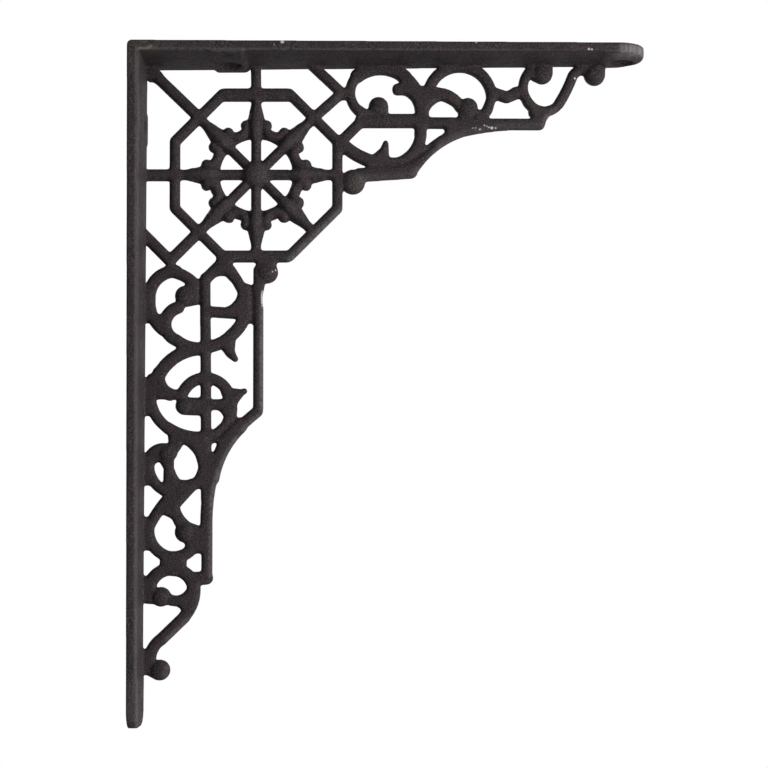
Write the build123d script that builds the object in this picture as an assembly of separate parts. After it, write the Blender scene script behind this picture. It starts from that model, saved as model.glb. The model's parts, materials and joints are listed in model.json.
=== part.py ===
from build123d import *
import math
import os

# Iron shelf bracket: one casting, an L of two tapering strips with a pierced web between them.
# Frame while drawing: X out from the wall face, Z up to the shelf face (z = 0), Y back into the
# casting, with the front of the web at y = 0. Points of the web are written as
# (distance from the wall face, distance below the shelf face), in millimetres.

# Driving dimensions
REACH = 188.6  # wall face to the end of the shelf strip
DROP = 249.2  # shelf face to the end of the wall strip
ROOT_THICK = 3.5  # strips, at the corner
TIP_THICK = 3.0  # strips, at the tips
CORNER_FRONT = -21.2  # front edge of the strips at the corner
CORNER_BACK = 7.7  # back edge of the strips at the corner
TIP_FRONT = -17.5
TIP_BACK = 3.8
CORNER_ROUND = 1.9
SHELF_TIP_ROUND = 9.8
WALL_TIP_ROUND = 6.5
WEB_THICK = 4.0
BAR = 3.2  # common width of a web bar, as drawn
MOULD_SWELL = 0.3  # every bar comes out of the sand mould this much wider than drawn
DOME_RISE = 1.1  # ball ends and hub stand this far in front of the bars
DOME_SEAT = 0.3  # and start this far inside them
DOME_CROWN = 0.6  # flat crown of a ball end, as a share of its radius

# Wheel
WHEEL_CENTRE = (45.1, 44.2)
WHEEL_APOTHEM = 30.4  # centre to the middle line of the octagon's sides
SPOKES = 8
HUB_RADIUS = 4.9
RING_INNER = 13.9
RING_OUTER = 17.6
LOBE_RADIUS = 1.9
LOBE_ALONG = 18.6  # along the spoke
LOBE_ASIDE = 3.8  # to each side of the spoke
SPOKE_BAR = 3.0
LEAF = [(12, 1.4), (18, 3.1), (20.5, 3.1), (27, 1.5)]  # along the spoke, half width
SPINDLE_START = 12.2  # swelling on each spoke, from here along it
SPINDLE_BELLY = 17.0
SPINDLE_END = 27.0
SPINDLE_RADIUS = 2.5
SPINDLE_END_RADIUS = 1.2
SPINDLE_AXIS = 1.4  # depth of its middle line behind the front of the bars
SPINDLE_SIDES = 8

# Ball ends: (distance from the wall face, distance below the shelf face, radius)
BALLS = [
    (90.9, 18.7, 3.4),
    (81.3, 46.9, 4.4),
    (124.4, 19.1, 3.4),
    (152.3, 6.0, 3.6),
    (171.9, 6.5, 3.6),
    (18.9, 89.8, 3.8),
    (49.3, 80.8, 3.9),
    (18.6, 131.0, 3.1),
    (12.0, 148.4, 3.4),
    (19.1, 177.9, 3.6),
    (10.0, 202.0, 3.5),
    (9.6, 229.2, 3.7),
    (WHEEL_CENTRE[0], WHEEL_CENTRE[1], HUB_RADIUS),
]

# Lengths down the wall strip where the scrolls run into it, and how far out they reach
WELD_NEAR = 2.2
WELD_FAR = 6.2
WALL_WELDS = [
    (85.4, 99.6),
    (120.4, 134.4),
    (148.6, 160.4),
    (172.4, 184.6),
    (194.4, 204.2),
    (221.6, 230.4),
]

# Screw pads and holes
SHELF_PAD_X = 35.8
SHELF_PAD_DEPTH = 4.5  # outer face of the strip to the face of the pad
WALL_PAD_DROP = 26.4
WALL_PAD_DEPTH = 3.8
PAD_FLAT = 10.6
PAD_SLOPE = 1.9  # length of a pad's sloping end
WALL_HOLE_Y = 0.0
SHELF_HOLE_Y = -2.2  # nearer the front, where the shelf tip is widest round its hole
HOLE_RADIUS = 2.4
SHELF_TIP_HOLE_X = 181.6
WALL_TIP_HOLE_DROP = 241.8
TIP_PAD_START = 174.0  # the shelf tip is thicker from here on, round its hole
TIP_PAD_DEPTH = 3.5
HEAD_RADIUS = 4.4  # recess for a screw head, on the underside of the shelf strip
HEAD_DEPTH = 1.7
DISH_RADIUS = 5.0  # shallow hollow round the recess at the shelf tip
DISH_DEPTH = 0.6
DISH_SHIFT = 0.5  # the hollow's middle is this much nearer the wall than the hole


def at(point):
    """Web point (from the wall, below the shelf) as a drawing-plane point."""
    return (point[0], -point[1])


def bar(start, end, width=BAR):
    """Straight bar with round ends between two web points."""
    start_x, start_z = at(start)
    end_x, end_z = at(end)
    length = math.hypot(end_x - start_x, end_z - start_z)
    angle = math.degrees(math.atan2(end_z - start_z, end_x - start_x))
    middle = Pos((start_x + end_x) / 2, (start_z + end_z) / 2)
    return middle * Rot(0, 0, angle) * SlotCenterToCenter(length, width + MOULD_SWELL)


def bow(start, middle, end, width=BAR):
    """Bar with round ends, bent to the arc through three web points."""
    return SlotArc(ThreePointArc(at(start), at(middle), at(end)), width + MOULD_SWELL)


def disc(centre, radius):
    """Round ball end of a scroll, seen from the front."""
    return Pos(*at(centre)) * Circle(radius)


def patch(*points):
    """Leaf or gusset with straight sides."""
    return make_face(Polyline(*[at(point) for point in points], close=True))


def around_wheel(along, aside, spoke):
    """Web point at a distance along a spoke's middle line and to one side of it."""
    turn = math.radians(360 / SPOKES * spoke)
    across = WHEEL_CENTRE[0] + along * math.cos(turn) - aside * math.sin(turn)
    down = WHEEL_CENTRE[1] + along * math.sin(turn) + aside * math.cos(turn)
    return (across, down)


def wheel():
    """Octagon, ring with lobes, and eight spokes that swell to a leaf in the middle."""
    corner_radius = WHEEL_APOTHEM / math.cos(math.radians(180 / SPOKES))
    pieces = [disc(WHEEL_CENTRE, HUB_RADIUS)]
    pieces.append(disc(WHEEL_CENTRE, RING_OUTER) - disc(WHEEL_CENTRE, RING_INNER))
    for spoke in range(SPOKES):
        corner = around_wheel(corner_radius, 0, spoke + 0.5)
        next_corner = around_wheel(corner_radius, 0, spoke + 1.5)
        pieces.append(bar(corner, next_corner))
        pieces.append(bar(WHEEL_CENTRE, around_wheel(WHEEL_APOTHEM, 0, spoke), SPOKE_BAR))
        near_side = [around_wheel(along, aside, spoke) for along, aside in LEAF]
        far_side = [around_wheel(along, -aside, spoke) for along, aside in reversed(LEAF)]
        pieces.append(patch(*near_side, *far_side))
        for side in (-1, 1):
            pieces.append(disc(around_wheel(LOBE_ALONG, side * LOBE_ASIDE, spoke), LOBE_RADIUS))
    return pieces


def spindle(spoke):
    """Swelling with flat sides on the front of a spoke, widest where it crosses the ring."""
    start = Pos(0, 0, SPINDLE_START) * RegularPolygon(SPINDLE_END_RADIUS, SPINDLE_SIDES)
    belly = Pos(0, 0, SPINDLE_BELLY) * RegularPolygon(SPINDLE_RADIUS, SPINDLE_SIDES)
    end = Pos(0, 0, SPINDLE_END) * RegularPolygon(SPINDLE_END_RADIUS, SPINDLE_SIDES)
    swelling = loft([start, belly, end], ruled=True)
    centre = Pos(WHEEL_CENTRE[0], SPINDLE_AXIS, -WHEEL_CENTRE[1])
    return centre * Rot(0, 360 / SPOKES * spoke, 0) * swelling


def wheel_ties():
    """Straight bars that tie the wheel to both strips and make the two diamonds."""
    return [
        bar((3.5, 3.1), (23.7, 22.6), 3.5),
        bar((44.9, 1.9), (45.1, 14), 3.1),
        bar((2.2, 44.3), (14.5, 44.3), 3.6),
        bar((65.5, 2.4), (77.8, 14.0)),
        bar((66.6, 22.7), (77.3, 13.2), 3.0),
        bar((84.2, 24.3), (76.8, 31.7)),
        bar((2, 65.5), (13, 76.6), 3.7),
        bar((23.6, 65.7), (13, 76.3), 3.4),
        bar((33, 76.6), (25.8, 83.8), 3.4),
        bow((32.3, 76), (36.8, 82), (41.5, 90.5), 3.5),
        bar((33.5, 14.1), (56.7, 14.1), 4.0),
        bar((33.5, 74.9), (56.7, 74.9), 3.6),
    ]


def shelf_arm():
    """Scrolls, rim and balls under the shelf strip, from the wheel to the tip."""
    first_scroll = [
        bow((84.2, 20.7), (80.3, 13.5), (82.8, 7.0), 3.1),
        bow((82.8, 7.0), (91.5, 3.9), (101.0, 7.5), 4.4),
        bow((100.7, 7.8), (104.8, 12.4), (106.9, 19.5), 4.4),
        bar((98.1, 12.0), (103.5, 11.5), 3.6),
        patch((98.4, 12), (98.8, 13.6), (101.4, 14.2), (103.4, 16.0), (104.5, 18.6), (106, 18), (104, 11)),
        patch((84.3, 18.3), (85.5, 19.2), (86.8, 20.0), (88, 19.5), (88, 23), (84, 23)),
        bar((90.9, 18.7), (90.9, 22), 6.8),
    ]
    lower_scroll = [
        bow((106.6, 26), (104.7, 35), (97.3, 40.2), 3.8),
        bow((97.3, 40.1), (87.5, 38.8), (78.8, 33.9), 4.1),
        patch((98, 40), (103, 36.6), (106, 35), (107.5, 37.5), (103, 43), (97, 43)),
        patch((88.3, 38.6), (88.3, 37.3), (91.6, 34.6), (92.7, 32.4), (94.5, 32.4), (94.8, 39.6)),
        disc((93.6, 32.4), 0.9),
    ]
    second_scroll = [
        bow((109.4, 14.0), (121.4, 3.4), (133.3, 15), 3.5),
        bow((133.3, 15), (131.6, 19.6), (129.4, 23.8), 3.1),
        bow((109.5, 14.2), (115.5, 14.1), (121, 18.2), 4.0),
        bar((124.4, 19.1), (124.4, 22.5), 6.8),
        bar((124, 21.8), (130, 21.8), 3.2),
        patch((108.6, 15), (108.9, 21), (109.7, 20), (110.8, 18.2), (112.6, 16.7), (114.4, 15.9)),
    ]
    third_scroll = [
        bow((148.2, 4.6), (145.1, 11.5), (147.6, 17.6), 3.0),
        bow((147.6, 17.6), (153.2, 20.3), (158.6, 17.4), 2.9),
        bow((158.6, 17.3), (161.5, 12.1), (163.7, 6.9), 3.3),
        bow((163.6, 6.8), (166.2, 4.9), (169.5, 5.0), 3.0),
        bar((148.6, 5), (150.5, 6.4), 5.0),
        bar((152.3, 4.4), (152.3, 6.0), 7.2),
        bar((171.9, 4.5), (171.9, 6.5), 7.3),
    ]
    chevron = [
        bar((133.5, 13.2), (138.9, 15), 3.5),
        bar((138.9, 15), (144, 12.9), 3.5),
    ]
    rim = [
        bar((84.5, 23.9), (107, 23.9), 4.4),
        bar((106, 24.6), (130, 24.8), 3.5),
        bar((128, 25.1), (151.2, 25.2), 3.5),
        bar((107.2, 13.5), (107.2, 22), 4.6),
        bar((106.6, 21), (106.3, 29), 3.4),
        bar((150.8, 21.4), (150.8, 24.5), 4.8),
        bar((84, 44.2), (103, 42.9), 4.5),
        bow((103.6, 42.6), (111.2, 33.9), (122, 27.9), 3.3),
        bow((122, 27.9), (134, 25.8), (151, 25.3), 3.2),
        patch((115.8, 26), (122, 26), (122, 29.8), (115.6, 31), (113, 33), (115.9, 28)),
        patch((106.7, 33.2), (109.2, 33.5), (108.4, 38), (104.5, 38)),
        patch((149, 19), (156, 19.8), (153.5, 24), (149.2, 24), (147.2, 21.2), (147.9, 17)),
        patch((86.2, 40), (92, 41), (92, 43), (86.6, 42.6)),
        disc((81.3, 46.9), 4.4),
    ]
    return first_scroll + lower_scroll + second_scroll + third_scroll + chevron + rim


def wall_arm():
    """Scrolls, spine, rim and balls beside the wall strip, from the wheel to the tip."""
    first_scroll = [
        bow((5.3, 91), (8.3, 83.0), (15.3, 80.4), 3.9),
        bow((15.3, 81.0), (20.3, 83.5), (24.0, 87.6), 3.7),
        patch((20.4, 87.8), (19.6, 87.4), (19.6, 85.2), (23, 85.2), (25, 88), (22, 90)),
        bow((5.3, 91), (6.3, 97), (10.5, 102.5), 3.8),
        bow((16, 94.0), (11.2, 99.8), (15.5, 106.3), 3.9),
        patch((8.4, 96.6), (10.4, 96.7), (11.6, 95.9), (13, 95.2), (13, 102), (9, 102)),
        bow((15.5, 106.3), (20, 108.7), (26.5, 109), 3.8),
        bar((18.8, 89.8), (24, 88.7), 7.2),
    ]
    spine = [
        bar((26.1, 83), (26.7, 155)),
        bar((27, 95.5), (38, 96.3), 3.4),
        patch((33.4, 94.4), (36.0, 93.1), (37.8, 91.0), (38.6, 88.5), (42, 90), (41, 97), (34, 96)),
        patch((29.4, 82.6), (31.4, 81.9), (33.7, 82.0), (35.6, 84.0), (35.6, 78.8), (30, 78.8)),
        patch((41, 85), (45.5, 86.3), (45.5, 99.8), (42.9, 99.8), (40, 99)),
        bow((42, 90), (40.7, 98), (35.7, 104.6), 4.0),
        bow((35.7, 104.6), (31.3, 107.6), (26.5, 108.8), 3.8),
        patch((32, 109), (34.3, 112.2), (36.2, 113.6), (38.2, 113.4), (37, 110), (37.4, 105.5), (34, 106)),
        disc((37.4, 113.2), 1.0),
    ]
    second_scroll = [
        bow((26.5, 109.5), (15.8, 112), (8.3, 120.5), 4.1),
        bow((9.0, 118.5), (9.3, 123), (13, 126.5), 4.2),
        patch((5, 119.6), (9, 119), (11, 124), (14, 126), (13, 128), (5, 128)),
        bar((5, 126.4), (16, 126.6), 3.1),
        bar((18.5, 130.9), (25, 131.1), 6.0),
        bow((17.3, 127.4), (26, 120.4), (34.6, 125.4), 3.6),
        bow((34.3, 125.5), (35.9, 132.5), (33, 140), 3.9),
        bow((33, 139.7), (30.3, 141.8), (26.6, 142.7), 4.2),
        bar((27, 130.4), (35.5, 130.2), 3.3),
        patch((33.5, 122.8), (36.3, 124.4), (40.3, 124.8), (41, 125.9), (38.4, 129.3), (36.8, 133)),
        patch((30, 131), (30.6, 132.1), (32, 132.9), (33.1, 134.4), (33.7, 136.4), (36, 136), (35, 130)),
        disc((40.9, 125.3), 0.9),
        bow((6.0, 123), (7.2, 133.3), (12.2, 139.1), 3.5),
        bow((12.2, 139.0), (18, 141.8), (26.5, 142.6), 3.9),
    ]
    curl = [
        bow((14.8, 142.8), (21.9, 144.9), (25.6, 151), 4.2),
        bar((15, 143), (13.9, 148), 3.3),
        bow((5.2, 152.5), (7.4, 147.9), (12, 147), 3.6),
        disc((12, 148.4), 3.4),
        bar((12.8, 150), (12.6, 160), 3.1),
        bow((5.2, 152.5), (6.6, 158.2), (12, 163), 3.3),
        bow((13.5, 159.7), (19.8, 161.2), (25.3, 155.6), 3.4),
        patch((13.5, 154), (14.7, 154.6), (15.3, 156.3), (16.6, 158.3), (18.4, 159.3), (13, 161)),
        patch((11, 160), (17, 158.4), (21.5, 158), (27, 155.6), (28, 161), (22.8, 161.8), (12, 161.8)),
        patch((11.5, 161), (22.8, 161.8), (16.8, 168.4), (12, 168)),
        patch((14, 143.4), (18.4, 144.5), (17.0, 146.6), (15.9, 148.1), (15.3, 150), (13, 150)),
        patch((6.2, 148.8), (6.4, 153.3), (8.2, 152.1), (9.5, 152.4), (10.8, 153.9), (13, 154), (13, 149)),
        patch((23.6, 151), (23.9, 154), (23.2, 157), (27, 158), (27, 150)),
        bar((24.7, 145.4), (27, 145.4), 2.4),
        disc((32.4, 143.4), 1.1),
        patch((9.6, 159.6), (12.5, 159.4), (12.5, 162), (10, 161)),
        patch((31.2, 144.3), (29.6, 148.3), (26, 148.3), (26, 154), (30, 154), (34, 145), (34, 142.6)),
    ]
    third_scroll = [
        bow((15.3, 162), (14.5, 169.4), (18.4, 175.5), 4.2),
        patch((9.4, 171.4), (10.9, 171.4), (12.6, 172.6), (14.2, 174), (14, 166), (11, 167)),
        bow((13.2, 164.5), (9, 169.8), (5.6, 175.5), 3.4),
        bow((5.3, 176), (7.1, 183.2), (14, 187.3), 3.6),
        bow((14, 187.2), (20.7, 184.9), (23.6, 178.5), 3.8),
        bar((19.0, 177.9), (24, 179.7), 7.3),
        disc((20.5, 182.8), 1.5),
        patch((19.5, 184), (24, 181), (28, 181), (28, 186), (24.4, 185.7), (22.6, 185.8), (20.5, 187.5)),
        bow((5.5, 199), (8.0, 194.0), (14, 191.7), 4.2),
        bow((14, 191.9), (19.8, 194.0), (22.2, 200), 4.2),
        bar((11.5, 189.4), (17.5, 189.4), 3.4),
        bow((11, 201.8), (16, 203.5), (21, 200.5), 3.4),
        bar((5, 201.5), (10, 201.8), 5.6),
        patch((13.2, 203.4), (14.4, 204.7), (17.2, 206.1), (18, 207.6), (21, 206), (21, 203)),
        disc((10, 202), 3.5),
    ]
    tail = [
        bow((22.1, 196), (22.0, 203), (18.6, 209.4), 3.8),
        bar((18.7, 209.5), (9.8, 218.1), 3.9),
        bow((9.7, 218.0), (6.6, 222), (6.0, 227), 3.8),
        bar((5, 227.4), (8.4, 228.8), 5.4),
        patch((3, 225), (7, 225), (10, 232.6), (7, 232), (5, 230.9), (3, 230.9)),
        disc((9.6, 229.2), 3.7),
    ]
    rim = [
        bar((47.4, 78.5), (46, 88)),
        bar((46, 80), (46, 132), 3.1),
        bar((45.7, 132.9), (39.5, 138.2), 3.5),
        bow((39.5, 138.3), (32.9, 146.9), (29.0, 158), 4.4),
        patch((35.8, 139), (36.6, 136.6), (38.6, 135.4), (41, 135.2), (41, 138), (37, 140)),
        patch((24.9, 161.2), (29, 161.2), (27.5, 176), (25.2, 176)),
        bow((28.8, 157), (27.2, 166.5), (26.8, 176), 3.8),
        bar((27, 170), (27, 195), 3.4),
        bar((23, 195.2), (26.8, 195), 4.4),
        bar((48.9, 77.2), (49.1, 80.8), 7.0),
        disc((49.3, 80.8), 3.9),
    ]
    welds = []
    for top, end in WALL_WELDS:
        welds.append(patch((WELD_NEAR, top), (WELD_FAR, top), (WELD_FAR, end), (WELD_NEAR, end)))
    return first_scroll + spine + second_scroll + curl + third_scroll + tail + rim + welds


def dome(across, down, radius):
    """Sloping front of a ball end, standing in front of the bars."""
    height = DOME_SEAT + DOME_RISE
    foot = (Align.CENTER, Align.CENTER, Align.MIN)
    cap = Rot(90, 0, 0) * Cone(radius, DOME_CROWN * radius, height, align=foot)
    return Pos(across, DOME_SEAT, -down) * cap


def strip_plan(length, depth, tip_round):
    """Tapering outline of a strip with rounded tip corners, as a block down to a depth."""
    plan = make_face(
        Polyline(
            (0, CORNER_FRONT),
            (length, TIP_FRONT),
            (length, TIP_BACK),
            (0, CORNER_BACK),
            close=True,
        )
    )
    tip_corners = plan.vertices().sort_by(Axis.X)[-2:]
    return extrude(fillet(tip_corners, tip_round), amount=-depth)


def across_strip(*profile):
    """Block with a side profile in X and Z, wider than any strip."""
    side = Plane.XZ * make_face(Polyline(*profile, close=True))
    return extrude(side, amount=2 * CORNER_BACK - 2 * CORNER_FRONT, both=True)


def strip(length, tip_round):
    """Flat strip lying along +X with its outer face up at z = 0, thinner towards its tip."""
    wedge = across_strip((0, 0), (length, 0), (length, -TIP_THICK), (0, -ROOT_THICK))
    return strip_plan(length, ROOT_THICK, tip_round) & wedge


def pad(start, end, depth, length, tip_round):
    """Raised screw pad across a strip, with sloping ends beyond its flat."""
    sides = across_strip(
        (start - PAD_SLOPE, -TIP_THICK),
        (start, -depth),
        (end, -depth),
        (end + PAD_SLOPE, -TIP_THICK),
    )
    return strip_plan(length, depth, tip_round) & sides


def below(across, hole_y, top, radius):
    """Round cutter that opens downwards from a height under the shelf face."""
    reach_down = SHELF_PAD_DEPTH + 1
    cutter = Cylinder(radius, reach_down, align=(Align.CENTER, Align.CENTER, Align.MAX))
    return Pos(across, hole_y, top) * cutter


def onto_wall(shape):
    """Turn a shape from under the shelf face to against the wall face."""
    return shape.mirror(Plane(origin=(0, 0, 0), z_dir=(1, 0, 1)))


# Web, with a raised front on every ball end and every spoke
outlines = wheel() + wheel_ties() + shelf_arm() + wall_arm()
web_outline = outlines[0].fuse(*outlines[1:])
web = extrude(Plane.XZ.offset(-WEB_THICK) * web_outline, amount=WEB_THICK)
domes = [dome(*ball) for ball in BALLS]
spindles = [spindle(spoke) for spoke in range(SPOKES)]

# Strips with their screw pads
angle = strip(REACH, SHELF_TIP_ROUND) + onto_wall(strip(DROP, WALL_TIP_ROUND))
outer_corner = angle.edges().filter_by(Axis.Y).sort_by_distance((0, 0, 0))[0]
angle = fillet(outer_corner, CORNER_ROUND)
shelf_pad_start = SHELF_PAD_X - PAD_FLAT / 2
shelf_pad_end = SHELF_PAD_X + PAD_FLAT / 2
wall_pad_start = WALL_PAD_DROP - PAD_FLAT / 2
wall_pad_end = WALL_PAD_DROP + PAD_FLAT / 2
angle += pad(shelf_pad_start, shelf_pad_end, SHELF_PAD_DEPTH, REACH, SHELF_TIP_ROUND)
angle += pad(TIP_PAD_START, REACH, TIP_PAD_DEPTH, REACH, SHELF_TIP_ROUND)
angle += onto_wall(pad(wall_pad_start, wall_pad_end, WALL_PAD_DEPTH, DROP, WALL_TIP_ROUND))
bracket = angle.fuse(web, *domes, *spindles)

# Screw holes, two in each strip, and recesses for the screw heads under the shelf strip
pad_head_top = HEAD_DEPTH - SHELF_PAD_DEPTH
tip_head_top = HEAD_DEPTH - TIP_PAD_DEPTH
dish_top = DISH_DEPTH - TIP_PAD_DEPTH
cuts = [
    below(SHELF_PAD_X, SHELF_HOLE_Y, 0, HOLE_RADIUS),
    below(SHELF_TIP_HOLE_X, SHELF_HOLE_Y, 0, HOLE_RADIUS),
    below(SHELF_PAD_X, SHELF_HOLE_Y, pad_head_top, HEAD_RADIUS),
    below(SHELF_TIP_HOLE_X, SHELF_HOLE_Y, tip_head_top, HEAD_RADIUS),
    below(SHELF_TIP_HOLE_X - DISH_SHIFT, SHELF_HOLE_Y, dish_top, DISH_RADIUS),
    onto_wall(below(WALL_PAD_DROP, WALL_HOLE_Y, 0, HOLE_RADIUS)),
    onto_wall(below(WALL_TIP_HOLE_DROP, WALL_HOLE_Y, 0, HOLE_RADIUS)),
]
bracket = bracket.cut(*cuts)

# The frame's origin is on the wall face, half way between the two wall screws, in line with them
origin_height = -(WALL_PAD_DROP + WALL_TIP_HOLE_DROP) / 2
bracket = Pos(0, -WALL_HOLE_Y, -origin_height) * bracket
bracket.label = "shelf_bracket"

os.makedirs("parts", exist_ok=True)
export_step(bracket, "parts/shelf_bracket.step")
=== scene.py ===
import json
import math

import bmesh
import bpy
import numpy as np
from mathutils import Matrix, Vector, kdtree

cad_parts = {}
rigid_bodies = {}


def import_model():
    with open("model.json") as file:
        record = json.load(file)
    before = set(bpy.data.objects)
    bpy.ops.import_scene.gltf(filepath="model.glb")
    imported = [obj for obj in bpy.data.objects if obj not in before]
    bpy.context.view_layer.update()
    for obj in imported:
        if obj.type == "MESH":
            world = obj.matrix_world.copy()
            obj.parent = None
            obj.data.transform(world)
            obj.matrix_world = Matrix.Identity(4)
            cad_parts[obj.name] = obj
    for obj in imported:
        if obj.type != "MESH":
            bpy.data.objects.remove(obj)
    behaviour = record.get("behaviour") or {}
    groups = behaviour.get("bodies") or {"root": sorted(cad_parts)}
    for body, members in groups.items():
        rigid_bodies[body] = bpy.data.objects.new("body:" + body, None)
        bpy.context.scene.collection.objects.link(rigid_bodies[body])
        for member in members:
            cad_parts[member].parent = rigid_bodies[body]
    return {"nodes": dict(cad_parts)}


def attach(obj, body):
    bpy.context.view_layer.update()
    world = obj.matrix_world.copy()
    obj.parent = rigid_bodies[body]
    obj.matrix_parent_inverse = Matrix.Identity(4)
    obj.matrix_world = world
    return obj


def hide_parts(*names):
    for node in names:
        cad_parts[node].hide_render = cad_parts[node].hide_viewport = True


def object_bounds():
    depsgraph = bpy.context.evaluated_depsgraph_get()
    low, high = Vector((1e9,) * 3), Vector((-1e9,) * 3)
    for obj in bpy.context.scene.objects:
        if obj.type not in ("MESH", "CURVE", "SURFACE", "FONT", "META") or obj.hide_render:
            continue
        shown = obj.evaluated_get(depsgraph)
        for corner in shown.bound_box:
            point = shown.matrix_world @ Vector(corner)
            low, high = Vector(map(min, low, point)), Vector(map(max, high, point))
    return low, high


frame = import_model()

cad_low, cad_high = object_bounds()

MM = 0.001
SHELF_TOP = cad_high.z

# Soft skin of the sand casting
WELD_GAP = 0.000002
SKIN_CELL = 0.5 * MM
FIRST_SOFTENING = 2
LAST_SOFTENING = 3
SKIN_TRIANGLES = 190000
SKIN_SWELL = 0.2  # what the softening takes from every bar's sides, given back

# The lengths from here to the colours are in millimetres. A place is how far it
# lies along the shelf and down the wall from the outer corner, and its depth is
# how far it lies behind the web's front.
NO_METAL = 9.0  # the depth of a form's front where the form isn't there

# The strips: length, thickness at the corner and what it loses by the tip. A pad
# is where it starts, where it ends and how thick it is.
SHELF_REACH = 188.6
WALL_DROP = 249.2
STRIP_ROOT = 3.5
STRIP_LOSS = 0.5
SHELF_PAD = (28.4, 43.2, 4.6)
SHELF_TIP_PAD = (172.0, 190.0, 3.9)
WALL_PAD = (19.0, 33.8, 3.9)
STRIP_SKIN = 0.1  # nothing of the web is moved nearer to a strip than this
STRIP_BLEND = 1.2  # and over this length it comes to move in full

# The web and its bars
WEB_BACK = 4.0
WEB_ZONE = (-1.6, WEB_BACK + 0.3)
SIDE_WALLS = (1.7, 2.3)  # depths at which the web's side walls stand straight
BAR_ROUND = 1.9  # how far in from its edge a bar's front is rounded
BAR_FALL = 1.7  # and how far back the edge lies
BAR_FULLNESS = 0.96  # 1 would stand the rounding upright at the edge
CROWN_FULLNESS = 2.2  # 2 would make a crown's section an ellipse

# The wheel in the corner
WHEEL_CENTRE = (45.1, 44.2)
WHEEL_RADIUS = 28.0
WHEEL_SHARE = 0.6  # of the bars' rounding that the wheel's forms get as well
WHEEL_FLOOR = 2.2
SPOKE_TURN = math.radians(45)
SPOKE_FOOT = 1.6
HUB_RADIUS = 5.0
HUB_RISE = 1.9
RING_FLOOR = 1.5  # depth of the hollows between the petals and the spokes
RING_ZONE = (12.5, 23.5)
PETAL_PATH = [(14.3, 5.9), (15.4, 4.7), (16.9, 3.9), (18.6, 3.8)]
PETAL_RADIUS = 1.9
PETAL_FOOT = 1.7
PETAL_CREST = -0.1

# A spoke from the hub out: distances, then its half widths or its crests there
SPOKE_WIDTHS = (
    [0, 12, 14, 17.5, 20.5, 27, 31],
    [1.6, 1.6, 2.0, 2.6, 2.5, 1.7, 1.6],
)
SPOKE_CRESTS = ([0, 12, 17, 27, 31], [0.1, 0.0, -1.1, 0.0, 0.0])

# Ball ends: along, down and radius
BALLS = [
    (90.9, 18.7, 3.6),
    (81.3, 46.9, 4.5),
    (124.4, 19.1, 3.7),
    (152.3, 6.0, 3.7),
    (171.9, 6.5, 3.7),
    (18.9, 89.8, 3.9),
    (49.3, 80.8, 4.0),
    (18.6, 131.0, 3.3),
    (12.6, 149.0, 3.9),
    (19.1, 177.9, 3.7),
    (10.0, 202.0, 3.6),
    (9.6, 229.2, 3.8),
]
BALL_FOOT = 1.4
BALL_CREST = -0.9

# The longest crease, from end to end
LONG_CREASE = [
    (84.5, 40.8),
    (92.9, 40.9),
    (99.4, 40.6),
    (104.0, 38.6),
    (107.3, 36.0),
    (111.0, 33.6),
]
# Creases where two bars run side by side: how deep, half width, then the line
CREASES = [
    (0.9, 0.9, LONG_CREASE),
    (0.5, 0.8, [(84.5, 22.4), (92.0, 22.4)]),
    (0.6, 0.8, [(120.5, 22.9), (126.5, 22.6)]),
    (0.9, 0.9, [(43.2, 84.5), (43.9, 91.7), (43.7, 100.5)]),
    (0.9, 0.9, [(27.7, 143.4), (31.3, 142.4), (34.9, 138.7), (37.6, 136.2)]),
    (0.9, 0.8, [(24.0, 82.8), (24.2, 92.5)]),
]

# Small fills and trims at the openings: along and down, how far the metal moves
# along and down, and over what radius
TRIMS = [
    (4.0, 7.2, 0.0, 1.9, 2.3),
    (8.6, 4.6, 0.9, 0.3, 2.3),
    (118.3, 19.5, 0.35, -0.35, 2.0),
    (14.2, 173.0, 0.45, -0.55, 2.4),
    (9.2, 151.7, 0.1, -0.8, 1.6),
    (19.3, 158.6, 0.0, 0.45, 2.0),
    (19.0, 145.4, 0.0, -0.4, 1.6),
    (141.7, 12.3, 0.0, -0.5, 1.2),
    (6.4, 119.6, 0.0, -0.6, 1.2),
    (134.1, 20.4, 0.35, 0.0, 1.6),
    (145.2, 19.5, -0.4, 0.0, 1.6),
    (37.2, 61.3, 0.0, 0.6, 1.5),
    (52.4, 61.3, 0.0, 0.5, 1.5),
    (28.3, 50.5, -0.35, 0.0, 1.5),
    (62.6, 52.0, 0.35, 0.0, 1.5),
]

# The inner side of the wall strip's tip stands out: where it starts, over what
# length, and by how much. It holds from the strip's middle to its inner face.
WALL_TIP = (230.0, 2.5, 0.35)
WALL_TIP_SIDE = (1.0, 3.6, 1.5)

# Old damage: a dent in the underside of the shelf pad (along, depth, radius, how
# deep) and a chip in the rim's edge (along, down, half length, how deep)
PAD_DENT = (35.8, -17.4, 3.2, 0.45)
DENT_NARROWING = 1.6  # across the strip
PAD_UNDERSIDE = (3.0, 6.0)
RIM_CHIP = (48.2, 90.8, 3.3, 0.5)
CHIP_ZONE = (46.6, 49.0)
CHIP_FRONT = -0.5

# Colours of the iron, and how much of them shows
DARK_TINT = (0.035, 0.029, 0.030, 1)
WARM_TINT = (0.046, 0.034, 0.038, 1)
GREEN_TINT = (0.039, 0.036, 0.034, 1)
GREEN_SHARE = 0.6
PIT_TINT = (0.010, 0.008, 0.009, 1)
PIT_SHARE = 0.7
GRAIN_TINT = (0.125, 0.112, 0.114, 1)
GRAIN_SHARE = 0.55
# pale tint for painted highlights on lit edges and crests, and for rubbed wear
RUB_AND_HIGHLIGHT_TINT = (0.105, 0.094, 0.094, 1)
BARE_AND_GLINT_TINT = (0.62, 0.59, 0.56, 1)
GROUND_TINT = (0.175, 0.158, 0.162, 1)
STAIN_TINT = (0.062, 0.057, 0.049, 1)

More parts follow.
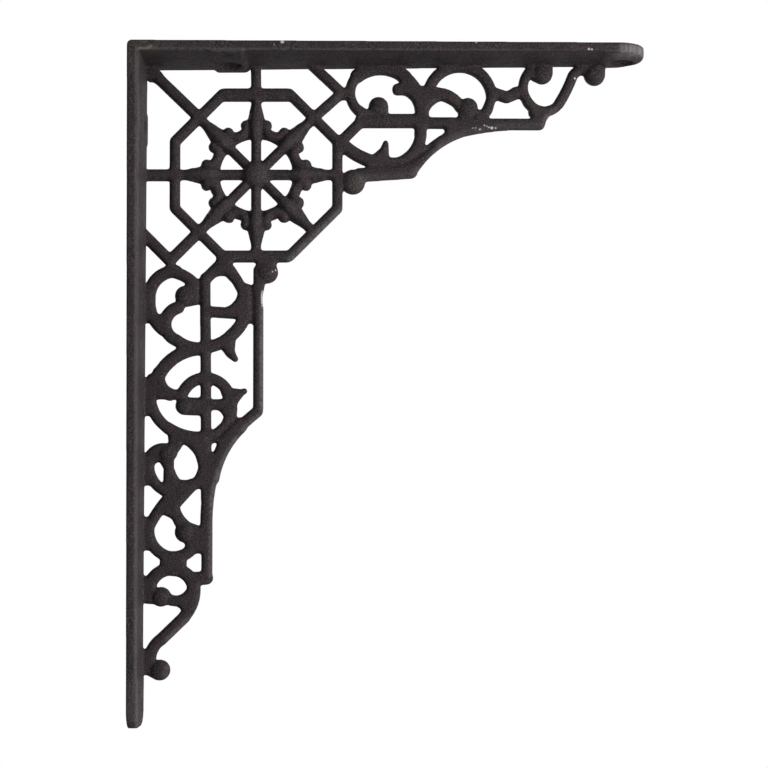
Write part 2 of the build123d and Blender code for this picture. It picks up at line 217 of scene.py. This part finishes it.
# How fine each noise in the iron is
TINT_NOISE = 140.0
GREEN_NOISE = 95.0
SAND_NOISE = 2100.0
PATCH_NOISE = 900.0
GLOSS_NOISE = 400.0
RIPPLE_NOISE = 380.0
GRIND_LINES = (1.0, 1.0, 0.10)  # stretches the noise along the grinding

# How dull and how rough the iron is
DULL_GLOSS = 0.07
ROUGHNESS = (0.66, 0.80)
WORN_SMOOTHER = 0.22
RIPPLE_SHARE = 1.6
RELIEF_STRENGTH = 0.75
RELIEF_HEIGHT = 0.22 * MM
SPOT_CORE = 0.35  # the share of a spot's radius that it fills in full

# Grey-green stains, in millimetres: along, depth, down, radius, and how strong
STAINS = [
    (7.0, -20.8, 2.0, 11.0, 0.7),
    (82.8, 0.0, 47.8, 4.5, 0.8),
    (147.9, 0.0, 19.5, 4.0, 0.6),
    (119.8, 0.0, 18.2, 3.5, 0.6),
    (76.0, 0.0, 13.5, 4.0, 0.5),
]

# The shelf strip's tip is ground bare: where along the strip that starts and is
# full, and the depth and the distance down at which it ends
TIP_GROUND = (177.0, 180.5)
GROUND_SECTION = (-2.0, 5.0)
GROUND_TOP = (0.3, 1.2)  # where it comes in below the top, and over what length
GROUND_TOP_SHARE = 0.3  # how far the top is ground
DULL_PATCH = (3.0, -10.5, 0.3)  # what is lower and deeper is ground by a share

# Bare specks and streaks, and among them painted highlights on a ball and at the corner:
# along, depth, down, radius, and how bare or bright
BARE_SPOTS_AND_GLINTS = [
    (56.2, -20.6, 0.5, 1.0, 1.0),
    (53.3, -20.6, 1.7, 0.5, 0.5),
    (59.5, -20.6, 1.0, 0.4, 0.4),
    (126.2, 0.2, 27.1, 0.45, 0.5),
    (127.2, 0.2, 27.0, 0.45, 0.5),
    (128.8, 0.2, 27.6, 0.5, 0.8),
    (130.5, 0.2, 26.1, 0.5, 0.7),
    (131.4, 0.2, 26.4, 0.45, 0.6),
    (132.2, 0.2, 26.8, 0.45, 0.7),
    (133.3, 0.2, 27.1, 0.7, 1.0),
    (134.7, 0.2, 27.2, 0.6, 1.0),
    (126.4, -18.7, 0.4, 0.6, 0.5),
    (167.4, -18.1, 2.7, 0.65, 0.9),
    (168.5, -18.1, 2.9, 0.65, 0.9),
    (36.7, 0.8, 140.8, 0.6, 0.7),
    # painted highlight on the lower right of the ball at 49.3, 80.8
    (51.4, -0.2, 81.0, 0.55, 1.0),
    (52.5, 0.3, 80.4, 0.5, 0.9),
    (47.7, 1.0, 88.4, 0.7, 0.8),
    (47.6, 1.0, 89.4, 0.8, 1.0),
    (47.5, 1.0, 90.4, 0.8, 1.0),
    (47.5, 1.0, 91.4, 0.8, 1.0),
    (47.6, 1.0, 92.4, 0.8, 1.0),
    (47.7, 1.0, 93.4, 0.7, 0.8),
    (164.4, 0.2, 8.4, 0.55, 0.9),
    # painted highlight: a faint crescent along the corner's front edge
    (4.7, -21.2, 3.2, 0.7, 0.12),
    (5.5, -21.2, 3.2, 0.7, 0.14),
    (6.3, -21.2, 3.2, 0.7, 0.13),
    (7.1, -21.2, 3.2, 0.7, 0.14),
    (7.9, -21.2, 3.0, 0.7, 0.15),
    (8.7, -21.1, 2.5, 0.8, 0.2),
    (3.0, -20.0, 28.4, 0.5, 0.6),
    (3.3, -20.0, 30.6, 0.5, 0.5),
    (2.2, -20.6, 29.3, 0.4, 0.5),
]

# The wall side's rim, which curves back to the wall
WALL_RIM = [
    (38.2, 143.2),
    (34.8, 148.6),
    (31.8, 154.6),
    (30.1, 160.0),
    (29.1, 168.0),
]
# Edges painted pale as highlights where the side lamp catches them, partly also rubbed by
# handling: half width, share, then the line on the web
RUB_AND_HIGHLIGHT_LINES = [
    (1.8, 0.35, [(84.0, 46.0), (103.0, 45.3), (106.5, 43.0)]),
    (1.6, 0.3, [(114.0, 33.5), (122.5, 29.0), (135.0, 26.8), (152.0, 26.2)]),
    # the right rim and the lower diagonal face the side lamp: painted highlight
    (1.1, 0.9, [(47.8, 94.0), (47.6, 132.0)]),
    (1.0, 0.6, [(47.4, 133.6), (40.6, 139.6)]),
    (1.5, 0.8, [(77.8, 57.5), (58.0, 76.6)]),
    # painted highlight on the hub's dome
    (2.8, 0.2, [(45.0, 44.0), (45.2, 44.4)]),
    (1.0, 0.5, [(106.9, 43.0), (113.0, 34.8), (122.5, 29.6)]),
    (0.9, 0.5, [(152.8, 24.0), (157.0, 20.0)]),
    # the tail and the rim towards the wall face the side lamp: painted highlight
    (1.0, 0.7, [(12.6, 217.6), (20.0, 210.4)]),
    (1.0, 0.5, [(12.4, 228.0), (12.0, 231.0)]),
    (1.3, 0.7, WALL_RIM),
    (1.0, 0.5, [(28.9, 170.0), (28.7, 178.0), (28.6, 194.0)]),
]
HIGHLIGHT_LINE_CORE = 0.3  # the share of the half width that is painted pale in full
SPOKE_RUB_AND_HIGHLIGHT = 0.22  # painted highlight, partly rubbed wear, on the crests of the wheel's spokes and hub
CREST_HIGHLIGHT_START = (-0.1, 0.8)  # the depth at which that starts, and over what rise
HIGHLIGHT_LINE_DEPTH = 2.5  # how far back on the web the lines reach
CREST_DEPTH = 0.5

# Where the strips' front edges and the wall strip's tip are painted light, as highlights
# along the lit edges and partly as wear. A band is its two sides and how softly it ends; a
# start is where it begins and is full.
EDGE_TAPER = 0.0155  # how fast the front edges run back towards the tips
EDGE_WEAR_AND_HIGHLIGHT = 0.55
SHELF_EDGE_DOWN = (3.1, 3.7, 0.5)
SHELF_EDGE_DEPTH = (-22.0, -20.7, 0.7)
SHELF_EDGE_START = (3.0, 3.6)
WALL_EDGE_ALONG = (3.1, 4.0, 0.3)
WALL_EDGE_DEPTH = (-20.8, -16.5, 2.5)
WALL_EDGE_START = (3.0, 8.0)
WALL_EDGE_SHARE = 0.8
WORN_LIT_TIP_START = (229.5, 232.5)
WORN_LIT_TIP_SIDE = (5.0, 4.5)
TIP_FRONT_DEPTH = (-23.0, -20.6, 0.5)
TIP_FRONT_SHARE = 0.6
TIP_BACK_DEPTH = (2.4, 5.0, 0.8)
TIP_BACK_ALONG = (3.0, 4.5, 0.3)

# The light, the floor and the camera, in metres from the frame's origin
BRACKET_MIDDLE = (0.09, 0.0, 0.0)
FLOOR_MIDDLE = (0.09, 0.0, -0.30)
FLOOR_REACH = 1.2
FLOOR_PAINT = (0.8, 0.8, 0.8, 1)
FLOOR_FADE = (0.2, 0.8)  # shares of the floor's reach
FLOOR_WHITE = (0.5, 1.0)  # how much of the backdrop's white it takes on there
FILL_LIGHT = 0.19
LOOKING_RAYS = ("Is Glossy Ray", "Is Transmission Ray")  # besides the camera's
# Lamps: name, place, how wide and how strong
LAMPS = [
    ("side_panel", (0.95, -0.60, 0.08), 0.5, 11.2),
    ("back_panel", (-0.45, 0.95, 0.50), 0.6, 5.0),
]
CAMERA_PLACE = (0.0929, -0.6343, -0.0462)
CAMERA_TILT = math.radians(91.418)


def clear_bench():
    """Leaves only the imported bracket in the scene."""
    for spare in list(bpy.context.scene.objects):
        if spare.name in {"Cube", "Light", "Camera"}:
            bpy.data.objects.remove(spare)


def raw_iron():
    """The bracket's metal as one joined skin."""
    iron = bmesh.new()
    iron.from_mesh(frame["nodes"]["shelf_bracket"].data)
    bmesh.ops.remove_doubles(iron, verts=iron.verts, dist=WELD_GAP)
    return iron


def shaped(pattern):
    """The pattern's mesh with its modifiers applied, as a new mesh."""
    bpy.context.view_layer.update()
    drawn = pattern.evaluated_get(bpy.context.evaluated_depsgraph_get())
    mesh = bpy.data.meshes.new_from_object(drawn)
    bpy.data.objects.remove(pattern)
    return mesh


def pattern_of(mesh):
    """A passing object that modifiers can work on."""
    pattern = bpy.data.objects.new("pattern", mesh)
    bpy.context.scene.collection.objects.link(pattern)
    return pattern


def soften(pattern, times):
    """Rounds off what is sharper than the sand would cast."""
    soft = pattern.modifiers.new("soft_edges", "SMOOTH")
    soft.factor = 0.5
    soft.iterations = times


def even_skin(iron):
    """The joined metal under one even skin of small cells."""
    rough = bpy.data.meshes.new("rough_casting")
    iron.to_mesh(rough)
    iron.free()
    pattern = pattern_of(rough)
    skin = pattern.modifiers.new("skin", "REMESH")
    skin.mode = "VOXEL"
    skin.voxel_size = SKIN_CELL
    skin.adaptivity = 0.0
    soften(pattern, FIRST_SOFTENING)
    return shaped(pattern)


def to_line(along, down, line):
    """Distance of every point from a line of straight runs."""
    nearest = np.full(along.shape, 1e9)
    for (a0, d0), (a1, d1) in zip(line, line[1:]):
        run_a, run_d = a1 - a0, d1 - d0
        share = ((along - a0) * run_a + (down - d0) * run_d) / (run_a**2 + run_d**2)
        share = np.clip(share, 0.0, 1.0)
        off = np.hypot(along - a0 - share * run_a, down - d0 - share * run_d)
        nearest = np.minimum(nearest, off)
    return nearest


def crown(off, radius, foot, crest):
    """Depth of a rounded front: crest on its middle line and foot at its edge."""
    share = np.clip(off / radius, 0.0, 1.0)
    front = foot - (foot - crest) * np.sqrt(1 - share**CROWN_FULLNESS)
    return np.where(off < radius, front, NO_METAL)


def edge_distance(along, down, depth):
    """How far each point lies from the web's nearest side wall, seen from the front."""
    wall = np.nonzero((depth > SIDE_WALLS[0]) & (depth < SIDE_WALLS[1]))[0]
    tree = kdtree.KDTree(len(wall))
    for k in wall:
        tree.insert((along[k], down[k], 0.0), k)
    tree.balance()
    gap = np.zeros(len(along))
    for k in range(len(along)):
        gap[k] = tree.find((along[k], down[k], 0.0))[2]
    return gap


def wheel_front(along, down):
    """Depth of the wheel's front: spindle spokes, paired petals and a domed hub."""
    across, below = along - WHEEL_CENTRE[0], down - WHEEL_CENTRE[1]
    out = np.hypot(across, below)
    turn = np.arctan2(below, across)
    turn = turn - SPOKE_TURN * np.round(turn / SPOKE_TURN)
    on_spoke, aside = out * np.cos(turn), np.abs(out * np.sin(turn))
    half = np.interp(on_spoke, *SPOKE_WIDTHS)
    crest = np.interp(on_spoke, *SPOKE_CRESTS)
    spokes = crown(aside, half, SPOKE_FOOT, crest)
    hub = crown(out, HUB_RADIUS, SPOKE_FOOT, -HUB_RISE)
    off_petal = to_line(on_spoke, aside, PETAL_PATH)
    petals = crown(off_petal, PETAL_RADIUS, PETAL_FOOT, PETAL_CREST)
    front = np.minimum(np.minimum(spokes, hub), petals)
    in_ring = (out > RING_ZONE[0]) & (out < RING_ZONE[1])
    front = np.where(in_ring, np.minimum(front, RING_FLOOR), front)
    return np.where(out < WHEEL_RADIUS, front, NO_METAL)


def strip_thickness(at, length, pads):
    """How thick a strip is at each place along it, with its screw pads."""
    thick = STRIP_ROOT - STRIP_LOSS * at / length
    for start, end, padded in pads:
        thick = np.where((at > start) & (at < end), padded, thick)
    return thick


def ease(value):
    """A soft step: 0 up to 0, 1 from 1, and level at both ends."""
    value = np.clip(value, 0.0, 1.0)
    return value * value * (3 - 2 * value)


def points_of(mesh):
    """Every point of a mesh as along, depth and down, in millimetres."""
    place = np.empty(len(mesh.vertices) * 3)
    mesh.vertices.foreach_get("co", place)
    place = place.reshape(-1, 3)
    return place[:, 0] / MM, place[:, 1] / MM, (SHELF_TOP - place[:, 2]) / MM


def put_points(mesh, along, depth, down):
    """Moves the points of a mesh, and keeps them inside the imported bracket's box."""
    place = np.stack([along * MM, depth * MM, SHELF_TOP - down * MM], axis=1)
    place = np.clip(place, cad_low, cad_high)
    mesh.vertices.foreach_set("co", place.ravel())
    mesh.update()


def clear_of_shelf(along, down):
    """0 on the shelf strip, and 1 away from it."""
    thick = strip_thickness(along, SHELF_REACH, [SHELF_PAD, SHELF_TIP_PAD])
    return ease((down - thick - STRIP_SKIN) / STRIP_BLEND)


def clear_of_wall(along, down):
    """0 on the wall strip, and 1 away from it."""
    thick = strip_thickness(down, WALL_DROP, [WALL_PAD])
    return ease((along - thick - STRIP_SKIN) / STRIP_BLEND)


def clear_of_strips(along, down):
    """0 on either strip, and 1 on the free part of the web."""
    return clear_of_shelf(along, down) * clear_of_wall(along, down)


def swell(mesh):
    """Gives the bars and strips back the width that the softening took."""
    along, depth, down = points_of(mesh)
    outward = np.empty(len(mesh.vertices) * 3)
    mesh.vertex_normals.foreach_get("vector", outward)
    outward = outward.reshape(-1, 3)
    on_strips = 1 - clear_of_strips(along, down)
    along = along + SKIN_SWELL * outward[:, 0]
    depth = depth + SKIN_SWELL * outward[:, 1] * on_strips
    down = down - SKIN_SWELL * outward[:, 2]
    put_points(mesh, along, depth, down)


def fill_out(mesh):
    """Thickens the wall strip's tip, and fills and trims the edges of the openings."""
    along, depth, down = points_of(mesh)
    start, length, stand = WALL_TIP
    middle, inside, fade = WALL_TIP_SIDE
    inner_side = ease(along - middle) * (1 - ease((along - inside) / fade))
    along = along + stand * ease((down - start) / length) * inner_side
    off_wall, off_shelf = clear_of_wall(along, down), clear_of_shelf(along, down)
    for far, low, move_along, move_down, radius in TRIMS:
        near = np.exp(-((along - far) ** 2 + (down - low) ** 2) / radius**2)
        along = along + move_along * near * off_wall
        down = down + move_down * near * off_shelf
    put_points(mesh, along, depth, down)


def model_front(mesh):
    """Rounds the front of every bar, and raises the balls, spokes and petals."""
    all_along, all_depth, all_down = points_of(mesh)
    free = clear_of_strips(all_along, all_down)
    web = (all_depth > WEB_ZONE[0]) & (all_depth < WEB_ZONE[1]) & (free > 0)
    along, depth, down = all_along[web], all_depth[web], all_down[web]

    gap = np.clip(edge_distance(along, down, depth), 0.0, BAR_ROUND)
    near_edge = (BAR_ROUND - gap) / BAR_ROUND
    rounding = BAR_FALL * (1 - np.sqrt(1 - near_edge**2 * BAR_FULLNESS))
    front = rounding
    for deep, half_width, line in CREASES:
        off = to_line(along, down, line) / half_width
        front = front + deep * np.exp(-(off**2))
    wheel = wheel_front(along, down)
    on_wheel = np.minimum(wheel + WHEEL_SHARE * rounding, WHEEL_FLOOR)
    front = np.where(wheel < NO_METAL, on_wheel, front)
    for far, low, radius in BALLS:
        off = np.hypot(along - far, down - low)
        front = np.minimum(front, crown(off, radius, BALL_FOOT, BALL_CREST))

    # The back stays flat, and what lies between moves in proportion
    behind = np.clip(depth, 0.0, None)
    moved = front + (WEB_BACK - front) * behind / WEB_BACK
    all_depth[web] = depth + (moved - depth) * free[web]
    put_points(mesh, all_along, all_depth, all_down)


def dent_and_chip(mesh):
    """Old damage: a dent under the shelf pad and a chip in the rim."""
    along, depth, down = points_of(mesh)
    far, middle, radius, deep = PAD_DENT
    off = np.hypot(along - far, DENT_NARROWING * (depth - middle)) / radius
    on_pad = (off < 1.0) & (down > PAD_UNDERSIDE[0]) & (down < PAD_UNDERSIDE[1])
    down = np.where(on_pad, down - deep * (1 - off**2), down)

    far, low, half, deep = RIM_CHIP
    inner, outer = CHIP_ZONE
    off = np.abs(down - low) / half
    on_rim = (off < 1.0) & (along > inner) & (along < outer) & (depth > CHIP_FRONT)
    into = np.clip((along - inner) / (far - inner), 0.0, 1.0)
    along = np.where(on_rim, along - deep * (1 - off**2) * into, along)
    put_points(mesh, along, depth, down)


def keep_on_points(mesh, name, values):
    """Stores one value for every point, where the iron's finish can read it."""
    kept = mesh.attributes.new(name, "FLOAT", "POINT")
    kept.data.foreach_set("value", values.astype(np.float32))


def mark_wear_and_highlights(mesh):
    """Marks on the casting's points where the web is painted pale, as highlights on lit
    edges and crests and partly as rubbed wear, and where the tip is ground.
    """
    along, depth, down = points_of(mesh)
    rub_and_highlight = np.zeros(len(along))
    on_front = depth < HIGHLIGHT_LINE_DEPTH
    for half_width, share, line in RUB_AND_HIGHLIGHT_LINES:
        near = 1 - ease(to_line(along, down, line) / half_width - HIGHLIGHT_LINE_CORE)
        rub_and_highlight = np.maximum(rub_and_highlight, share * near * on_front)
    start, rise = CREST_HIGHLIGHT_START
    # painted highlight on the raised crests, partly rubbed wear
    crests = SPOKE_RUB_AND_HIGHLIGHT * ease((start - wheel_front(along, down)) / rise)
    rub_and_highlight = np.maximum(rub_and_highlight, crests * (depth < CREST_DEPTH))
    keep_on_points(mesh, "rub_and_highlight", rub_and_highlight)

    start, full = TIP_GROUND
    ahead_of, above = GROUND_SECTION
    ground = ease((along - start) / (full - start))
    ground = ground * (depth < ahead_of) * (down < above)
    edge, fade = GROUND_TOP
    off_top = ease((down - edge) / fade)
    ground = ground * (GROUND_TOP_SHARE + (1 - GROUND_TOP_SHARE) * off_top)
    below, behind, share = DULL_PATCH
    dull = (down > below) & (depth > behind)
    keep_on_points(mesh, "ground", ground * np.where(dull, share, 1.0))


def finished_skin(mesh):
    """Blends the modelled front, then thins the cells where the metal is plain."""
    pattern = pattern_of(mesh)
    soften(pattern, LAST_SOFTENING)
    thin = pattern.modifiers.new("thinned", "DECIMATE")
    thin.ratio = min(1.0, SKIN_TRIANGLES / (2 * len(mesh.polygons)))
    skin = shaped(pattern)
    skin.name = "bracket_casting"
    for face in skin.polygons:
        face.use_smooth = True
    return skin


def nodes_of(holder):
    """The emptied node tree of a material or a world."""
    holder.use_nodes = True
    holder.node_tree.nodes.clear()
    return holder.node_tree


class Finish:
    """A material's node tree, with short ways to add what the iron needs."""

    def __init__(self, name):
        self.material = bpy.data.materials.new(name)
        self.tree = nodes_of(self.material)
        self.place = self.tree.nodes.new("ShaderNodeTexCoord").outputs["Object"]

    def node(self, kind, **settings):
        """A new node with its settings."""
        made = self.tree.nodes.new(kind)
        for name, value in settings.items():
            setattr(made, name, value)
        return made

    def feed(self, source, socket):
        """Links a socket to a source, or gives it a plain value."""
        if isinstance(source, bpy.types.NodeSocket):
            self.tree.links.new(source, socket)
        else:
            socket.default_value = source

    def grain(self, scale, detail=3.0, stretch=(1.0, 1.0, 1.0)):
        """Noise from 0 to 1, by the object's own measure."""
        spread = self.node("ShaderNodeMapping")
        spread.inputs["Scale"].default_value = stretch
        self.feed(self.place, spread.inputs["Vector"])
        noise = self.node("ShaderNodeTexNoise")
        noise.inputs["Scale"].default_value = scale
        noise.inputs["Detail"].default_value = detail
        self.feed(spread.outputs["Vector"], noise.inputs["Vector"])
        return noise.outputs["Fac"]

    def between(self, value, low, high, start=0.0, end=1.0):
        """start where value is low, end where it is high, and even in between."""
        span = self.node("ShaderNodeMapRange", clamp=True)
        for name, source in (
            ("Value", value),
            ("From Min", low),
            ("From Max", high),
            ("To Min", start),
            ("To Max", end),
        ):
            self.feed(source, span.inputs[name])
        return span.outputs["Result"]

    def reckon(self, kind, first, second):
        """One step of arithmetic on two values."""
        step = self.node("ShaderNodeMath", operation=kind)
        self.feed(first, step.inputs[0])
        self.feed(second, step.inputs[1])
        return step.outputs["Value"]

    def blend(self, share, first, second):
        """The first colour, which gives way to the second by a share."""
        mix = self.node("ShaderNodeMix", data_type="RGBA")
        self.feed(share, mix.inputs["Factor"])
        self.feed(first, mix.inputs["A"])
        self.feed(second, mix.inputs["B"])
        return mix.outputs["Result"]

    def both(self, first, second):
        """The first value times the second."""
        return self.reckon("MULTIPLY", first, second)

    def either(self, first, second):
        """The greater of two values."""
        return self.reckon("MAXIMUM", first, second)

    def kept(self, name):
        """What the casting's own points keep under a name."""
        return self.node("ShaderNodeAttribute", attribute_name=name).outputs["Fac"]

    def from_place(self, place):
        """Distance of what is painted from a place in the frame."""
        gap = self.node("ShaderNodeVectorMath", operation="DISTANCE")
        self.feed(self.place, gap.inputs[0])
        gap.inputs[1].default_value = place
        return gap.outputs["Value"]

    def spots(self, places):
        """The strongest of many soft-edged spots, each with its own share."""
        strongest = 0.0
        for along, depth, down, radius, share in places:
            gap = self.from_place((along * MM, depth * MM, SHELF_TOP - down * MM))
            core = SPOT_CORE * radius
            spot = self.between(gap, core * MM, radius * MM, 1.0, 0.0)
            strongest = self.either(strongest, self.both(spot, share))
        return strongest

    def past(self, value, none, full, most=1.0):
        """0 up to one length, and the most past another, in millimetres."""
        return self.between(value, none * MM, full * MM, 0.0, most)

    def band(self, value, low, high, soft):
        """1 between two lengths in millimetres, with soft ends."""
        rise = self.past(value, low - soft, low)
        fall = self.past(value, high + soft, high)
        return self.both(rise, fall)

    def strip_wear_and_highlights(self):
        """How far the strips' edges and the wall strip's tip are painted light: painted
        highlights along the lit edges, partly wear.
        """
        parts = self.node("ShaderNodeSeparateXYZ")
        self.feed(self.place, parts.inputs["Vector"])
        along, depth = parts.outputs["X"], parts.outputs["Y"]
        down = self.reckon("SUBTRACT", SHELF_TOP, parts.outputs["Z"])
        taper = self.both(self.either(along, down), EDGE_TAPER)
        from_front = self.reckon("SUBTRACT", depth, taper)

        shelf_edge = self.both(
            self.band(down, *SHELF_EDGE_DOWN),
            self.band(from_front, *SHELF_EDGE_DEPTH),
        )
        shelf_edge = self.both(shelf_edge, self.past(along, *SHELF_EDGE_START))
        wall_edge = self.both(
            self.band(along, *WALL_EDGE_ALONG),
            self.band(from_front, *WALL_EDGE_DEPTH),
        )
        past_corner = self.past(down, *WALL_EDGE_START, WALL_EDGE_SHARE)
        wall_edge = self.both(wall_edge, past_corner)

        on_tip = self.both(
            self.past(down, *WORN_LIT_TIP_START), self.past(along, *WORN_LIT_TIP_SIDE)
        )
        tip_front = self.both(self.band(from_front, *TIP_FRONT_DEPTH), TIP_FRONT_SHARE)
        tip_back = self.both(
            self.band(depth, *TIP_BACK_DEPTH), self.band(along, *TIP_BACK_ALONG)
        )
        tip = self.both(on_tip, self.either(tip_front, tip_back))
        return self.either(self.either(shelf_edge, wall_edge), tip)


def iron_colour(iron, sand, rub_and_highlight, ground):
    """The iron's tints and stains, then its sand grain, then its wear and painted
    highlights.
    """
    tints = iron.between(iron.grain(TINT_NOISE), 0.38, 0.62)
    colour = iron.blend(tints, DARK_TINT, WARM_TINT)
    greens = iron.between(iron.grain(GREEN_NOISE, 2.0), 0.55, 0.68, 0.0, GREEN_SHARE)
    colour = iron.blend(greens, colour, GREEN_TINT)
    colour = iron.blend(iron.spots(STAINS), colour, STAIN_TINT)
    pits = iron.between(sand, 0.34, 0.5, PIT_SHARE, 0.0)
    colour = iron.blend(pits, colour, PIT_TINT)
    crystals = iron.between(sand, 0.53, 0.72, 0.0, GRAIN_SHARE)
    colour = iron.blend(crystals, colour, GRAIN_TINT)
    # painted highlights on lit edges and crests, partly rubbed wear
    colour = iron.blend(rub_and_highlight, colour, RUB_AND_HIGHLIGHT_TINT)
    colour = iron.blend(ground, colour, GROUND_TINT)
    # bare specks, and painted highlights among them
    return iron.blend(iron.spots(BARE_SPOTS_AND_GLINTS), colour, BARE_AND_GLINT_TINT)


def cast_iron():
    """Dark brown-grey sand-cast iron, pale at its edges from painted highlights and
    rubbing, with a ground tip.
    """
    iron = Finish("dark_cast_iron")
    shader = iron.node("ShaderNodeBsdfPrincipled")
    out = iron.node("ShaderNodeOutputMaterial")
    iron.feed(shader.outputs["BSDF"], out.inputs["Surface"])
    shader.inputs["Specular IOR Level"].default_value = DULL_GLOSS

    sand = iron.grain(SAND_NOISE, 2.0)
    patchy = iron.between(iron.grain(PATCH_NOISE, 2.0), 0.36, 0.58, 0.25, 1.0)
    # painted edge highlights, partly wear, along the strips' edges and the wall strip's
    # tip
    edges = iron.both(iron.strip_wear_and_highlights(), EDGE_WEAR_AND_HIGHLIGHT)
    rub_and_highlight = iron.both(iron.either(iron.kept("rub_and_highlight"), edges), patchy)
    lines = iron.grain(PATCH_NOISE, 3.0, GRIND_LINES)
    ground = iron.both(iron.kept("ground"), iron.between(lines, 0.35, 0.65, 0.25, 1.0))
    iron.feed(iron_colour(iron, sand, rub_and_highlight, ground), shader.inputs["Base Color"])

    rough = iron.between(iron.grain(GLOSS_NOISE), 0.3, 0.7, *ROUGHNESS)
    smoother = iron.both(iron.either(ground, rub_and_highlight), WORN_SMOOTHER)
    iron.feed(iron.reckon("SUBTRACT", rough, smoother), shader.inputs["Roughness"])

    ripples = iron.both(iron.grain(RIPPLE_NOISE), RIPPLE_SHARE)
    relief = iron.node("ShaderNodeBump")
    relief.inputs["Strength"].default_value = RELIEF_STRENGTH
    relief.inputs["Distance"].default_value = RELIEF_HEIGHT
    iron.feed(iron.reckon("ADD", sand, ripples), relief.inputs["Height"])
    iron.feed(relief.outputs["Normal"], shader.inputs["Normal"])
    return iron.material


def pale_floor():
    """A pale floor below the hanging bracket, which fades into the backdrop far out."""
    ground = bmesh.new()
    bmesh.ops.create_circle(ground, cap_ends=True, segments=96, radius=FLOOR_REACH)
    bmesh.ops.translate(ground, vec=FLOOR_MIDDLE, verts=ground.verts)
    bmesh.ops.recalc_face_normals(ground, faces=ground.faces)
    mesh = bpy.data.meshes.new("floor")
    ground.to_mesh(mesh)
    ground.free()
    floor = bpy.data.objects.new("floor", mesh)
    bpy.context.scene.collection.objects.link(floor)
    paint = Finish("pale_floor")
    matt = paint.node("ShaderNodeBsdfDiffuse")
    matt.inputs["Color"].default_value = FLOOR_PAINT
    pale = paint.node("ShaderNodeEmission")
    far_out = paint.from_place(FLOOR_MIDDLE)
    start, end = (share * FLOOR_REACH for share in FLOOR_FADE)
    white = paint.between(far_out, start, end, *FLOOR_WHITE)
    path = paint.node("ShaderNodeLightPath")
    looking = path.outputs["Is Camera Ray"]
    for ray in LOOKING_RAYS:
        looking = paint.either(looking, path.outputs[ray])
    mix = paint.node("ShaderNodeMixShader")
    paint.feed(paint.both(white, looking), mix.inputs["Fac"])
    paint.feed(matt.outputs["BSDF"], mix.inputs[1])
    paint.feed(pale.outputs["Emission"], mix.inputs[2])
    out = paint.node("ShaderNodeOutputMaterial")
    paint.feed(mix.outputs["Shader"], out.inputs["Surface"])
    mesh.materials.append(paint.material)


def soft_lamp(name, where, across, power):
    """A round studio panel that looks at the bracket's middle."""
    panel = bpy.data.lights.new(name, "AREA")
    panel.shape = "DISK"
    panel.size = across
    panel.energy = power
    lamp = bpy.data.objects.new(name, panel)
    lamp.location = where
    lamp.rotation_mode = "QUATERNION"
    aim = Vector(BRACKET_MIDDLE) - Vector(where)
    lamp.rotation_quaternion = aim.to_track_quat("-Z", "Y")
    bpy.context.scene.collection.objects.link(lamp)


def white_surround():
    """A white backdrop with a softer fill light on the iron."""
    world = bpy.data.worlds.new("white_surround")
    bpy.context.scene.world = world
    tree = nodes_of(world)
    make, link = tree.nodes.new, tree.links.new
    fill, seen = make("ShaderNodeBackground"), make("ShaderNodeBackground")
    for light, strength in ((fill, FILL_LIGHT), (seen, 1.0)):
        light.inputs["Color"].default_value = (1, 1, 1, 1)
        light.inputs["Strength"].default_value = strength
    path = make("ShaderNodeLightPath")
    looking = path.outputs["Is Camera Ray"]
    for ray in LOOKING_RAYS:
        stronger = make("ShaderNodeMath")
        stronger.operation = "MAXIMUM"
        link(looking, stronger.inputs[0])
        link(path.outputs[ray], stronger.inputs[1])
        looking = stronger.outputs["Value"]
    mix = make("ShaderNodeMixShader")
    out = make("ShaderNodeOutputWorld")
    link(looking, mix.inputs["Fac"])
    link(fill.outputs["Background"], mix.inputs[1])
    link(seen.outputs["Background"], mix.inputs[2])
    link(mix.outputs["Shader"], out.inputs["Surface"])


def aim_camera():
    """Looks at the web's front from well below the shelf strip."""
    lens = bpy.data.cameras.new("camera")
    lens.lens = 80.1
    lens.sensor_width = 36.0
    lens.shift_x = 0.0003
    lens.shift_y = 0.1461
    lens.clip_start = 0.01
    lens.clip_end = 20.0
    camera = bpy.data.objects.new("camera", lens)
    camera.location = CAMERA_PLACE
    camera.rotation_euler = (CAMERA_TILT, 0.0, 0.0)
    bpy.context.scene.collection.objects.link(camera)
    bpy.context.scene.camera = camera


clear_bench()
aim_camera()
skin = even_skin(raw_iron())
swell(skin)
fill_out(skin)
model_front(skin)
dent_and_chip(skin)
mesh = finished_skin(skin)
mark_wear_and_highlights(mesh)
mesh.materials.clear()
mesh.materials.append(cast_iron())
casting = bpy.data.objects.new("bracket_casting", mesh)
bpy.context.scene.collection.objects.link(casting)
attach(casting, "root")
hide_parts("shelf_bracket")
pale_floor()
for name, where, across, power in LAMPS:
    soft_lamp(name, where, across, power)
white_surround()
bpy.context.scene.view_settings.view_transform = "Standard"
